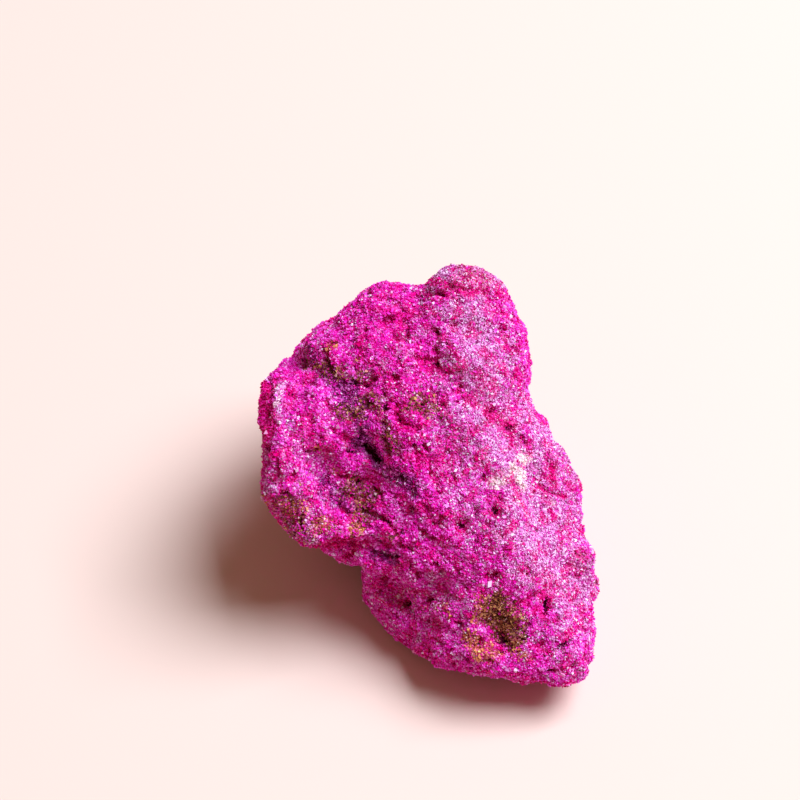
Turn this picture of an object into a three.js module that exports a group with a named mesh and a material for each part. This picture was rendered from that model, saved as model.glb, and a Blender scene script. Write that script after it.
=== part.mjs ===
// A loose chunk of rock, wholly grown over with a sugary crust of tiny magenta crystals: one closed solid.
// Lengths are millimetres and +Z is up. The origin is under the middle of the rock, where it touches the
// surface that it lies on.
//
// The rock is shaped in the frame of its broad face, with u to the right across that face, v up it and w out
// of it, and only then tipped forward to lie on its foot. Every [u, v] below is a place seen from straight in
// front of the broad face, and every [x, y] a place on the surface that the rock lies on.

import * as THREE from "three";
import { mergeVertices } from "three/addons/utils/BufferGeometryUtils.js";
import { ImprovedNoise } from "three/addons/math/ImprovedNoise.js";

// ---------------------------------------------------------------------------------------------------------
// Driving dimensions

const DETAIL = 19; // splits of the starting icosahedron's edges, which gives 20 * (DETAIL + 1)^2 triangles
const TIP_FORWARD = THREE.MathUtils.degToRad(40); // how far the broad face tips forward from level
const CENTRE_HEIGHT = 22; // from the surface up to the middle of the broad face
const FRONT_DEPTH = 12; // how far the broad face domes out of its rim
const BACK_DEPTH = 30; // how far the body reaches behind the rim
const BODY_SQUARENESS = 2.3; // 2 is an ellipsoid, and more is boxier

// The rim of the broad face, anticlockwise from its right-hand side.
const RIM = [
  [28.1, -17.8], [26.8, -26.0], [25.9, -31.8], [23.3, -34.4], [19.2, -33.8], [12.0, -32.9], [6.8, -32.5],
  [1.9, -31.4], [-4.1, -28.6], [-9.4, -23.8], [-11.4, -21.0], [-11.8, -19.1], [-10.6, -16.8], [-14.2, -14.7],
  [-18.1, -12.6], [-22.7, -10.0], [-26.0, -5.4], [-27.0, -1.2], [-27.0, 2.9], [-27.7, 11.6], [-26.7, 15.5],
  [-22.7, 21.0], [-18.4, 25.1], [-13.7, 28.0], [-11.4, 31.0], [-7.3, 32.3], [-2.4, 32.0], [0.2, 32.2],
  [1.9, 33.5], [6.8, 35.0], [11.1, 33.1], [14.0, 28.8], [16.4, 23.8], [17.2, 15.6], [18.2, 11.5],
  [20.6, 7.1], [24.6, -0.5], [25.6, -4.0], [25.6, -8.0], [26.4, -11.3], [28.2, -14.4],
];
const RIM_HOLD = 3; // how close to the rim its dents and corners stay: more is closer
const CORE_SPREAD = 50; // degrees over which the rim's dents and corners are evened out away from it
const OUTLINE_SPREAD = 5; // degrees over which the finished outline is drawn back to the rim

// Flat breaks. Each one trims what stands further than reach along its direction [u, v, w].
const BREAKS = [
  { along: [0.4, 0.12, 0.91], reach: 13.6 }, // the long pale slope down the right of the broad face
  { along: [-0.45, -0.5, 0.74], reach: 16.2 }, // the lower left flank
  { along: [0.9, 0.1, -0.42], reach: 23 }, // the right side
  { along: [-0.8, 0.3, -0.52], reach: 24.5 }, // the left side, behind the lobe
  { along: [-0.78, -0.5, -0.38], reach: 24 }, // the left side's lower half
  { along: [0.15, 0.85, -0.5], reach: 27.5 }, // the top, behind the knob
  { along: [-0.35, 0.45, -0.82], reach: 27 }, // the upper back
  { along: [0.5, 0.25, -0.83], reach: 26.5 }, // the back's right-hand side
];
const BREAK_KEEP = 0.2; // the share of a trimmed height that stays, so that a break is never dead flat

// What stands up from the broad face and, seen through the rock in the same [u, v], from the back.
const FRONT_RAISED = [
  { path: [[3, 29], [6.5, 13], [9.5, -1], [14, -14], [19, -25]], width: 6.5, height: 2.8 }, // the long ridge
  { path: [[-12.5, 21.8], [-5, 20]], width: 9.3, height: 3.0 }, // the upper left mass
  { path: [[-21, 6], [-21, 1]], width: 7.5, height: 4.4 }, // the left lobe
  { path: [[-19, -6]], width: 6, height: 2.8 }, // the left lobe's lower end
  { path: [[5.8, 33], [9, 32]], width: 4.3, height: 2.0 }, // the knob at the top
  { path: [[-3.5, 11], [-2, 3], [2, -7], [7, -16]], width: 5.2, height: 2.6 }, // the ridge's left shoulder
  { path: [[-16.5, 14.5]], width: 3.5, height: 1.4 },
  { path: [[-12.3, 8], [-12.2, 2]], width: 3, height: 1.6 }, // the far side of the left lobe's hollow
  { path: [[-9.8, -15]], width: 2.2, height: 1.2 },
  { path: [[5, -26]], width: 6, height: 1.2 },
  { path: [[14, -29], [20, -28]], width: 7, height: 3.0 }, // the blunt lower end
  { path: [[24, -31.5]], width: 3.5, height: 1.2 }, // the lip at the lowest corner
];
const BACK_RAISED = [
  { path: [[-14, 24], [-4, 10], [3, -2]], width: 8, height: 3.6 }, // a long shoulder down the back
  { path: [[12, 18]], width: 7, height: 3.0 },
  { path: [[-20, 2]], width: 6, height: 2.6 },
  { path: [[17, 2], [20, -8]], width: 5, height: 2.2 },
];

// What is sunk into the broad face, and into the back.
const FRONT_SUNK = [
  { path: [[-24.5, 21], [-20.5, 18.3], [-15.5, 15.4]], width: 2.4, height: 3.0 }, // the furrow over the lobe
  { path: [[-15.5, 15.4], [-12.5, 9.5], [-10, 5]], width: 2.2, height: 1.0 }, // its shallower lower half
  { path: [[-10.5, -1], [-11, -5], [-11, -8]], width: 3.4, height: 4.4 }, // the valley below it
  { path: [[-10.3, 4.8], [-8.3, 2.7]], width: 1.1, height: 1.2 }, // the open slit in it
  { path: [[-17.3, 1.5], [-16.8, -1], [-15.8, -4]], width: 2.6, height: 4.0 }, // the hollow in the left lobe
  { path: [[2.5, 31.0], [6, 29.7], [9.2, 30.2]], width: 1.4, height: 0.7 }, // under the knob
  { path: [[10.2, -24], [11, -26.8]], width: 2.1, height: 2.4 }, // the mossy hollow
  { path: [[12.2, -28.6]], width: 1.6, height: 1.4 }, // the pit below it
  { path: [[18.6, -20], [18.8, -22.5]], width: 1.9, height: 2.0 }, // a deep slit
  { path: [[9.7, -5.4]], width: 1.6, height: 1.6 },
  { path: [[5.3, -8.0]], width: 2.0, height: 2.2 },
  { path: [[11.2, 9.8], [13.0, 6.2]], width: 2.0, height: 1.5 },
  { path: [[-5.5, 25.6]], width: 1.8, height: 1.1 },
  { path: [[-8.6, 20.2]], width: 1.8, height: 1.0 },
  { path: [[0.2, 20]], width: 2.6, height: 1.3 },
  { path: [[-0.3, 12.8]], width: 1.8, height: 1.1 },
  { path: [[-6.8, -12.5], [-6, -17], [-5.6, -20.5]], width: 2.0, height: 1.8 },
  { path: [[1, -18.5]], width: 2.4, height: 1.6 },
];
const BACK_SUNK = [
  { path: [[8, 28], [6, 16], [10, 5], [14, -4]], width: 3.4, height: 2.8 }, // a furrow beside the shoulder
  { path: [[-21, 15], [-15, 8], [-11, -4]], width: 2.8, height: 3.0 },
  { path: [[-7, 20]], width: 3.0, height: 2.6 },
  { path: [[14, 12]], width: 2.4, height: 2.0 },
  { path: [[-1, 5]], width: 2.6, height: 1.6 },
  { path: [[-18, -7]], width: 2.2, height: 1.8 },
];

// Ledges of the broad face: the rock stands up on the upper side of each path, and fades out over its width.
const LEDGES = [
  { path: [[-21, -11.2], [-15, -9.4], [-10.5, -9.6]], width: 4.2, height: 3.0 },
  { path: [[-25, 12], [-24.2, 7], [-24.5, 2]], width: 3, height: 1.5 },
];
const LEDGE_LIP = 0.9; // half the distance over which a ledge drops

// Where the edge of the broad face is lifted, so that the face stays almost level out to its rim.
const EDGE_LIFTED = [
  { path: [[-27, 8], [-27.5, 0], [-24, -8.5], [-21, -11]], width: 5, height: 6 }, // the left lobe's
  { path: [[3, -33], [14, -34.5], [25, -34]], width: 6, height: 6 }, // the lower end's
];
const LIFT_DEPTH = 9; // how far behind the rim the lift fades out

// Roughness all over the rock: broad swells, and two sizes of rounded knobs with creases between them.
const SWELLS = { size: 16, height: 2.4, seed: 3.1 };
const KNOBS = [{ size: 10, height: 1.1, seed: 7.3 }, { size: 5.6, height: 0.7, seed: 12.2 }];

// The foot: the rock is worn flat where it meets the surface, and the underside between the pads is hollow.
const PADS = [
  { at: [20, -24], radius: 4.5 }, // under the lowest corner of the broad face
  { at: [-3, -15], radius: 4 },
  { at: [-9, 9], radius: 5 },
  { at: [13, 10], radius: 5 },
];
const FOOT_HOLLOW = 2.6; // the height of the underside between the pads
const FOOT_ROUGH = { size: 6, height: 1.2, seed: 21.7 };
const PAD_ROUGH = { size: 5, seed: 31.3 }; // what makes the pads' edges uneven

const CRUST_COLOUR = 0xc22d8f;

// How finely the rim and the faces are worked out
const RIM_STEPS = 240; // directions in which the rim's distance from the middle is kept
const RIM_POINTS = 6000; // points along the rim that these distances are read from
const HOLD_SHAPE = 0.85; // how much of its height off the surface a vertex keeps while the faces are evened

// ---------------------------------------------------------------------------------------------------------
// Small helpers

const noise = new ImprovedNoise();
const { clamp, lerp, smoothstep } = THREE.MathUtils;

/** Smooth noise from -1 to 1 that changes over about size millimetres. Each seed is a pattern of its own. */
function noiseAt(point, { size, seed }) {
  return noise.noise(point.x / size + seed, point.y / size - seed, point.z / size + 2.7 * seed);
}

/** Rounded knobs with creases between them, from about -0.6 to 1.4. */
function knobsAt(point, knobs) {
  return 3 * Math.abs(noiseAt(point, knobs)) - 0.6;
}

/** 1 at the middle of a form, and fading to nothing a little past its width. */
function falloff(distance, width) {
  return Math.exp(-((distance / width) ** 2));
}

/** A place's distance from a path, and how far across the path it is: above 0 on the upper side. */
function nearestOnPath(u, v, path) {
  const [u0, v0] = path[0];
  let best = { distance: Math.hypot(u - u0, v - v0), across: 0 };
  path.slice(1).forEach(([u2, v2], i) => {
    const [u1, v1] = path[i];
    const [du, dv] = [u2 - u1, v2 - v1];
    const along = clamp(((u - u1) * du + (v - v1) * dv) / (du * du + dv * dv), 0, 1);
    const [gapU, gapV] = [u - u1 - along * du, v - v1 - along * dv];
    const distance = Math.hypot(gapU, gapV);
    if (i === 0 || distance < best.distance) {
      best = { distance, across: (du * gapV - dv * gapU) / Math.hypot(du, dv) };
    }
  });
  return best;
}

/** The summed height at a place of forms that all stand up, or are all sunk. */
function heightOf(forms, { x: u, y: v }) {
  return forms.reduce((sum, { path, width, height }) => {
    return sum + height * falloff(nearestOnPath(u, v, path).distance, width);
  }, 0);
}

/** Values round a full turn, one for each of equal steps, that can be read at any angle in radians. */
class Round {
  constructor(values) {
    this.values = values;
  }

  /** Where an angle falls among the steps, with its fraction, some turns on. */
  stepOf(angle) {
    return (angle / (2 * Math.PI) + 1) * this.values.length;
  }

  at(angle) {
    const step = this.stepOf(angle);
    const before = Math.floor(step);
    const count = this.values.length;
    return lerp(this.values[before % count], this.values[(before + 1) % count], step - before);
  }

  /** The same values, each the mean of those within half of spread degrees to either side. */
  evened(spread) {
    const count = this.values.length;
    const near = Math.round((spread / 720) * count);
    const mean = (step) => {
      let sum = 0;
      for (let i = step - near; i <= step + near; i++) sum += this.values[(i + count) % count];
      return sum / (2 * near + 1);
    };
    return new Round(this.values.map((_, step) => mean(step)));
  }
}

/** The furthest distance of any of the places from the middle, round the middle. */
function furthestRound(places, steps) {
  const round = new Round(new Array(steps).fill(0));
  for (const [u, v] of places) {
    const step = Math.round(round.stepOf(Math.atan2(v, u))) % steps;
    round.values[step] = Math.max(round.values[step], Math.hypot(u, v));
  }
  return round;
}

/** The rim's distance from the middle of the broad face, round the middle. */
function rimReach() {
  const corners = RIM.map(([u, v]) => new THREE.Vector3(u, v, 0));
  const curve = new THREE.CatmullRomCurve3(corners, true, "centripetal");
  return furthestRound(curve.getPoints(RIM_POINTS).map((p) => [p.x, p.y]), RIM_STEPS);
}

/** Calls change(point, normal) for each vertex, and stores the point that it leaves behind. */
function reshape(geometry, change) {
  geometry.computeVertexNormals();
  const { position, normal } = geometry.attributes;
  const point = new THREE.Vector3();
  const outward = new THREE.Vector3();
  for (let i = 0; i < position.count; i++) {
    point.fromBufferAttribute(position, i);
    outward.fromBufferAttribute(normal, i);
    change(point, outward);
    position.setXYZ(i, point.x, point.y, point.z);
  }
}

/** For each vertex, the set of the vertices that share an edge with it. */
function neighboursOf(geometry) {
  const neighbours = Array.from({ length: geometry.attributes.position.count }, () => new Set());
  const corners = geometry.index.array;
  for (let i = 0; i < corners.length; i++) {
    const next = i % 3 === 2 ? i - 2 : i + 1;
    neighbours[corners[i]].add(corners[next]);
    neighbours[corners[next]].add(corners[i]);
  }
  return neighbours;
}

/** How far a vertex belongs to the broad face: 1 on it, 0 on the sides and the back. */
function onFront(outward) {
  return smoothstep(outward.z, -0.25, 0.3);
}

/** How far a vertex belongs to the back: 1 on it, 0 on the sides and the broad face. */
function onBack(outward) {
  return smoothstep(-outward.z, -0.05, 0.4);
}

// ---------------------------------------------------------------------------------------------------------
// The rock, step by step

/** A fine closed ball whose vertices are shared, with only positions. */
function startBall() {
  const ball = new THREE.IcosahedronGeometry(1, DETAIL);
  ball.deleteAttribute("uv");
  ball.deleteAttribute("normal");
  return mergeVertices(ball);
}

/** Stretches the ball to the rim's outline, with a shallow front and a deep back. */
function stretchToBody(geometry) {
  const rim = rimReach();
  const core = rim.evened(CORE_SPREAD);
  const power = 2 / BODY_SQUARENESS;
  reshape(geometry, (point) => {
    const across = Math.hypot(point.x, point.y);
    const angle = Math.atan2(point.y, point.x);
    const reach = lerp(core.at(angle), rim.at(angle), across ** RIM_HOLD) * across ** power;
    const depth = point.z > 0 ? FRONT_DEPTH : BACK_DEPTH;
    const w = Math.sign(point.z) * depth * Math.abs(point.z) ** power;
    point.set(reach * Math.cos(angle), reach * Math.sin(angle), w);
  });
}

/** Trims the body along its flat breaks. */
function breakFaces(geometry) {
  for (const { along, reach } of BREAKS) {
    const direction = new THREE.Vector3(...along).normalize();
    reshape(geometry, (point) => {
      const over = point.dot(direction) - reach;
      if (over > 0) point.addScaledVector(direction, -over * (1 - BREAK_KEEP));
    });
  }
}

/** Raises the ridges, lobes and ledges of the broad face and the back. */
function raiseForms(geometry) {
  reshape(geometry, (point, outward) => {
    let front = heightOf(FRONT_RAISED, point);
    for (const { path, width, height } of LEDGES) {
      const { distance, across } = nearestOnPath(point.x, point.y, path);
      front += height * smoothstep(across, -LEDGE_LIP, LEDGE_LIP) * falloff(distance, width);
    }
    point.z += heightOf(EDGE_LIFTED, point) * smoothstep(point.z, -LIFT_DEPTH, 0);
    const back = heightOf(BACK_RAISED, point);
    point.addScaledVector(outward, front * onFront(outward) + back * onBack(outward));
  });
}

/** Covers the whole rock with broad swells and rounded knobs. */
function roughen(geometry) {
  reshape(geometry, (point, outward) => {
    const swell = SWELLS.height * noiseAt(point, SWELLS);
    const knobs = KNOBS.reduce((sum, size) => sum + size.height * knobsAt(point, size), 0);
    point.addScaledVector(outward, swell + knobs);
  });
}

/** Sinks the furrows, slits and pits of the broad face and the back. */
function sinkForms(geometry) {
  reshape(geometry, (point, outward) => {
    const front = heightOf(FRONT_SUNK, point) * onFront(outward);
    const back = heightOf(BACK_SUNK, point) * onBack(outward);
    point.addScaledVector(outward, -front - back);
  });
}

/** Draws the outline, as seen from straight in front of the broad face, back to its rim. */
function settleRim(geometry) {
  const { position } = geometry.attributes;
  const places = Array.from({ length: position.count }, (_, i) => [position.getX(i), position.getY(i)]);
  const outline = furthestRound(places, Math.round(360 / OUTLINE_SPREAD));
  const rim = rimReach().evened(OUTLINE_SPREAD);
  reshape(geometry, (point) => {
    const angle = Math.atan2(point.y, point.x);
    const now = outline.at(angle);
    const atRim = smoothstep(Math.hypot(point.x, point.y) / now, 0.5, 0.95);
    const scale = lerp(1, rim.at(angle) / now, atRim);
    point.x *= scale;
    point.y *= scale;
  });
}

/** Slides each vertex along the surface towards the middle of its neighbours, so that the faces stay even. */
function evenOut(geometry, passes) {
  const neighbours = neighboursOf(geometry);
  const { position } = geometry.attributes;
  const corner = new THREE.Vector3();
  for (let pass = 0; pass < passes; pass++) {
    const middles = neighbours.map((near) => {
      const middle = new THREE.Vector3();
      for (const i of near) middle.add(corner.fromBufferAttribute(position, i));
      return middle.divideScalar(near.size);
    });
    let vertex = 0;
    reshape(geometry, (point, outward) => {
      const move = middles[vertex].sub(point);
      move.addScaledVector(outward, -move.dot(outward) * HOLD_SHAPE);
      point.addScaledVector(move, 0.5);
      vertex += 1;
    });
  }
}

/** The underside's height over a place on the surface: nothing on the pads, and a rough hollow between. */
function undersideAt(x, y) {
  const place = { x, y, z: 0 };
  const toPad = Math.min(...PADS.map(({ at, radius }) => Math.hypot(x - at[0], y - at[1]) / radius));
  const hollow = FOOT_HOLLOW + FOOT_ROUGH.height * noiseAt(place, FOOT_ROUGH);
  return hollow * smoothstep(toPad + 0.8 * noiseAt(place, PAD_ROUGH), 1, 2.2);
}

/** Tips the rock forward, and wears away what would stand below its underside. */
function layDown(geometry) {
  geometry.rotateX(TIP_FORWARD);
  geometry.translate(0, 0, CENTRE_HEIGHT);
  const middle = new THREE.Vector3(0, 0, CENTRE_HEIGHT);
  reshape(geometry, (point) => {
    const drop = middle.z - point.z;
    if (drop <= 0) return;
    const [x, y] = [(point.x * middle.z) / drop, (point.y * middle.z) / drop];
    const underside = undersideAt(x, y);
    if (point.z < underside) point.sub(middle).multiplyScalar((middle.z - underside) / drop).add(middle);
  });
}

/** The finished rock, standing on Z = 0 with the middle of its box over the origin. */
function rockGeometry() {
  const geometry = startBall();
  stretchToBody(geometry);
  breakFaces(geometry);
  evenOut(geometry, 6);
  raiseForms(geometry);
  roughen(geometry);
  sinkForms(geometry);
  settleRim(geometry);
  evenOut(geometry, 3);
  layDown(geometry);
  geometry.computeBoundingBox();
  const middle = geometry.boundingBox.getCenter(new THREE.Vector3());
  geometry.translate(-middle.x, -middle.y, -geometry.boundingBox.min.z);
  geometry.computeVertexNormals();
  return geometry;
}

const crust = new THREE.MeshStandardMaterial({ color: CRUST_COLOUR, roughness: 0.55, metalness: 0 });
const rock = new THREE.Mesh(rockGeometry(), crust);
rock.name = "crystal_crusted_rock";

const specimen = new THREE.Group();
specimen.name = "specimen";
specimen.add(rock);

export default specimen;
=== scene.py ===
"""The looks of a loose rock that a sugary crust of tiny magenta crystals has grown over.

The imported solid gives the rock's form. This script works the crust's fine relief into a copy of it, grows
single crystals all over that copy as joined meshes, and lays the rock on a pale table in soft light.
"""

import logging
import math
from dataclasses import dataclass
from enum import Enum

import bmesh
import bpy
import numpy as np
from mathutils import Matrix, Vector, noise


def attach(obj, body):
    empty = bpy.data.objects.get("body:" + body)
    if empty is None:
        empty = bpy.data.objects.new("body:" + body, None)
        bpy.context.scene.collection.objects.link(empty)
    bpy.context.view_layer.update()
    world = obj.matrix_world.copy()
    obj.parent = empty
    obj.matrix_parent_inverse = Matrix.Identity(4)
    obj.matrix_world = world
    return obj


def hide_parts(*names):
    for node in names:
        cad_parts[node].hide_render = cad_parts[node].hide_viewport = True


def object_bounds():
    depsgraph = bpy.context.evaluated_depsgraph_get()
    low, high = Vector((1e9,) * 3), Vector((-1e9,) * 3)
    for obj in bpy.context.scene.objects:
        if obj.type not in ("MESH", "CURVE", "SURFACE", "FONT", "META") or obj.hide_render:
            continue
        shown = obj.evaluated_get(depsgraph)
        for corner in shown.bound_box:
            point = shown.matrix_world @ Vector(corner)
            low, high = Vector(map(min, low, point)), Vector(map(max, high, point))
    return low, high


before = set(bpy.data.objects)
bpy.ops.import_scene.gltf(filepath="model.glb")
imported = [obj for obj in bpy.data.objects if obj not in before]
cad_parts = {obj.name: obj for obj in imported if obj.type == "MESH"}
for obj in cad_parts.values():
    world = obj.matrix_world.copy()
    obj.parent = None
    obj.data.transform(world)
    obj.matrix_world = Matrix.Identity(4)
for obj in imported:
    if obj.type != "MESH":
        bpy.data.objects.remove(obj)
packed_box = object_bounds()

log = logging.getLogger("specimen")

MM = 0.001  # metres in a millimetre
SOLID = "crystal_crusted_rock"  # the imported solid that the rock's looks stand for
BODY = "root"
SEED = 20
CELL_STRIDES = np.array([1, 1000, 1000000])  # what turns a cell's three numbers into a number of its own
SENSOR_WIDTH = 36.0  # the camera's sensor, in millimetres
CREASE_RISE = 0.55  # how much further off the second nearest middle is where a lump has its full height
LUMP_LEVEL = 0.7  # the height of a lump's top that counts as the rock's own level
PORES_FROM, PORES_TO = 0.34, 0.5  # the noise at which a pore starts, and at which it reaches its depth
MAP_NAME = "OFBake"
MAP_FILL = 0.9  # the share of its square that a side of a flat map fills
CELL_MARGIN = 0.1  # the share of its square that a crystal leaves free all round
FLAT_VIEW = np.array([[0.83, 0.21], [-0.36, 0.74], [0.43, -0.64]])  # looks along no face of any crystal

# The forms of the crystals, as shares of their width
RHOMB_SIDE = 0.75
RHOMB_LENGTH = 1.3
RHOMB_LEAN = 0.9  # radians
RHOMB_SQUEEZE = (0.9, 1.15, 0.85)
POINTED_RADIUS = 0.6
CHIP_HEIGHT = 0.95

Path = tuple[tuple[float, float], ...]
Stops = tuple[tuple[float, int], ...]


# ------------------------------------------------------------------------------------------------------------
# Small helpers


def linear(code: int) -> tuple[float, float, float, float]:
    """The scene's own colour for a display colour.

    Args:
        code: the display colour as 0xRRGGBB.

    Returns:
        Red, green, blue and alpha, linear.
    """
    parts = [(code >> shift & 255) / 255 for shift in (16, 8, 0)]
    red, green, blue = ((c / 12.92 if c < 0.04045 else ((c + 0.055) / 1.055) ** 2.4) for c in parts)
    return red, green, blue, 1.0


def smoothstep(value: np.ndarray, low: float, high: float) -> np.ndarray:
    """0 below low, 1 above high, and a smooth rise between them."""
    t = np.clip((value - low) / (high - low), 0, 1)
    return t * t * (3 - 2 * t)


def falloff(distance: np.ndarray, width: float) -> np.ndarray:
    """1 at the middle of a form, and fading to nothing a little past its width."""
    return np.exp(-((distance / width) ** 2))


def unit(rows: np.ndarray) -> np.ndarray:
    """The same vectors, one a row, each with a length of 1."""
    return rows / np.maximum(np.linalg.norm(rows, axis=1, keepdims=True), 1e-12)


def path_distance(u: np.ndarray, v: np.ndarray, path: Path) -> np.ndarray:
    """How far each place lies from a path.

    Args:
        u: the places' u.
        v: the places' v.
        path: one or more points.

    Returns:
        The distances, in the places' own unit.
    """
    best = np.hypot(u - path[0][0], v - path[0][1])
    for (u1, v1), (u2, v2) in zip(path, path[1:]):
        du, dv = u2 - u1, v2 - v1
        along = np.clip(((u - u1) * du + (v - v1) * dv) / (du * du + dv * dv), 0, 1)
        best = np.minimum(best, np.hypot(u - u1 - along * du, v - v1 - along * dv))
    return best


def noise_at(points: np.ndarray, size: float, seed: float) -> np.ndarray:
    """Smooth noise, from about -1 to 1.

    Args:
        points: rows of x, y and z in millimetres.
        size: the distance over which the noise changes, in millimetres.
        seed: each one is a pattern of its own.

    Returns:
        A value for each row.
    """
    shifted = points / size + np.array([seed, -seed, 2.7 * seed])
    return np.array([noise.noise(Vector(p)) for p in shifted.tolist()])


def lumps_at(points: np.ndarray, size: float, seed: float) -> np.ndarray:
    """Rounded lumps: 1 on top of each, and 0 in the creases where two meet. The arguments are noise_at's."""
    shifted = points / size + np.array([seed, -seed, 2.7 * seed])
    nearest = np.array([noise.voronoi(Vector(p))[0][:2] for p in shifted.tolist()])
    return 1 - (1 - np.clip((nearest[:, 1] - nearest[:, 0]) / CREASE_RISE, 0, 1)) ** 2


# ------------------------------------------------------------------------------------------------------------
# Places on the rock


@dataclass(frozen=True)
class BroadFace:
    """The frame of the rock's broad face: u to the right across it, v up it and w out of it, in millimetres.

    Attributes:
        centre: the middle of the face's rim in the row frame, in millimetres.
        tip_forward: how far the face tips forward from level, in radians.
    """

    centre: tuple[float, float, float] = (-0.27, 0.52, 22.0)
    tip_forward: float = math.radians(40)

    def axes(self) -> np.ndarray:
        """The directions of u, v and w in the row frame, one a row."""
        c, s = math.cos(self.tip_forward), math.sin(self.tip_forward)
        return np.array([[1, 0, 0], [0, c, s], [0, -s, c]])

    def places(self, points: np.ndarray) -> np.ndarray:
        """Turns points in the row frame into places on the face.

        Args:
            points: rows of x, y and z in millimetres.

        Returns:
            Rows of u, v and w in millimetres.
        """
        return (points - np.array(self.centre)) @ self.axes().T

    def in_row(self, u: float, v: float, w: float) -> Vector:
        """The point in the row frame, in metres, of a place on the face."""
        return Vector((np.array(self.centre) + np.array([u, v, w]) @ self.axes()) * MM)


FACE = BroadFace()


class Tint(Enum):
    """What the crust's colour leans to. The value is the name of the meshes' attribute that holds how far."""

    PALE = "pale"
    FROST = "frost"
    MOSS = "moss"
    EMBER_AND_RECESS_SHADE = "ember_and_recess_shade"
    DUSK_AND_FURROW_SHADE = "dusk_and_furrow_shade"
    DEEP = "deep"
    RUST = "rust"


@dataclass(frozen=True)
class Patch:
    """A patch or a streak of the broad face whose colour leans to a tint.

    Attributes:
        tint: what the colour leans to.
        path: one or more points (u, v) that it follows, in millimetres.
        width: how far it reaches to either side, in millimetres.
        strength: how far the colour leans, from 0 to 1.
    """

    tint: Tint
    path: Path
    width: float
    strength: float = 1.0


@dataclass(frozen=True)
class Mottle:
    """Uneven patches of a tint all over the rock.

    Attributes:
        tint: what the colour leans to.
        size: the distance from patch to patch, in millimetres.
        above: the noise above which there is a patch, from -1 to 1: more gives fewer patches.
        seed: the pattern.
        strength: how far the colour leans, from 0 to 1.
        front: the share of the strength that the broad face gets.
    """

    tint: Tint
    size: float
    above: float
    seed: float
    strength: float
    front: float = 1.0


@dataclass(frozen=True)
class Tints:
    """Where the crust's colour leans to which tint.

    Attributes:
        patches: those of the broad face.
        mottles: those that cover the rock.
        edge_size: the size of the raggedness of a patch's edge, in millimetres.
        edge_rough: how ragged the edge is, as a share of the patch's width.
        full_within: the share of its width within which a patch has its full strength.
        gone_beyond: the share of its width beyond which it has none.
        mottle_rise: the rise in the noise over which a mottle reaches its full strength.
        front_depth: how far behind the broad face's rim its patches fade out, in millimetres.
    """

    patches: tuple[Patch, ...]
    mottles: tuple[Mottle, ...]
    edge_size: float = 2.6
    edge_rough: float = 0.75
    full_within: float = 0.45
    gone_beyond: float = 1.25
    mottle_rise: float = 0.3
    front_depth: float = 9.0

    def at(self, points: np.ndarray) -> dict[Tint, np.ndarray]:
        """How far the colour leans to each tint.

        Args:
            points: rows of x, y and z in millimetres.

        Returns:
            For each tint a value from 0 to 1 for each row.
        """
        u, v, w = FACE.places(points).T
        front = smoothstep(w, -self.front_depth, 0)
        ragged = noise_at(points, self.edge_size, 5.5) + 0.5 * noise_at(points, self.edge_size / 2.4, 8.5)
        lean = {tint: np.zeros(len(points)) for tint in Tint}
        for patch in self.patches:
            near = path_distance(u, v, patch.path) / patch.width + self.edge_rough * ragged
            here = patch.strength * front * (1 - smoothstep(near, self.full_within, self.gone_beyond))
            lean[patch.tint] = np.maximum(lean[patch.tint], here)
        for mottle in self.mottles:
            value = noise_at(points, mottle.size, mottle.seed)
            rise = smoothstep(value, mottle.above, mottle.above + self.mottle_rise)
            here = mottle.strength * rise * (1 - (1 - mottle.front) * front)
            lean[mottle.tint] = np.maximum(lean[mottle.tint], here)
        return lean


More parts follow.
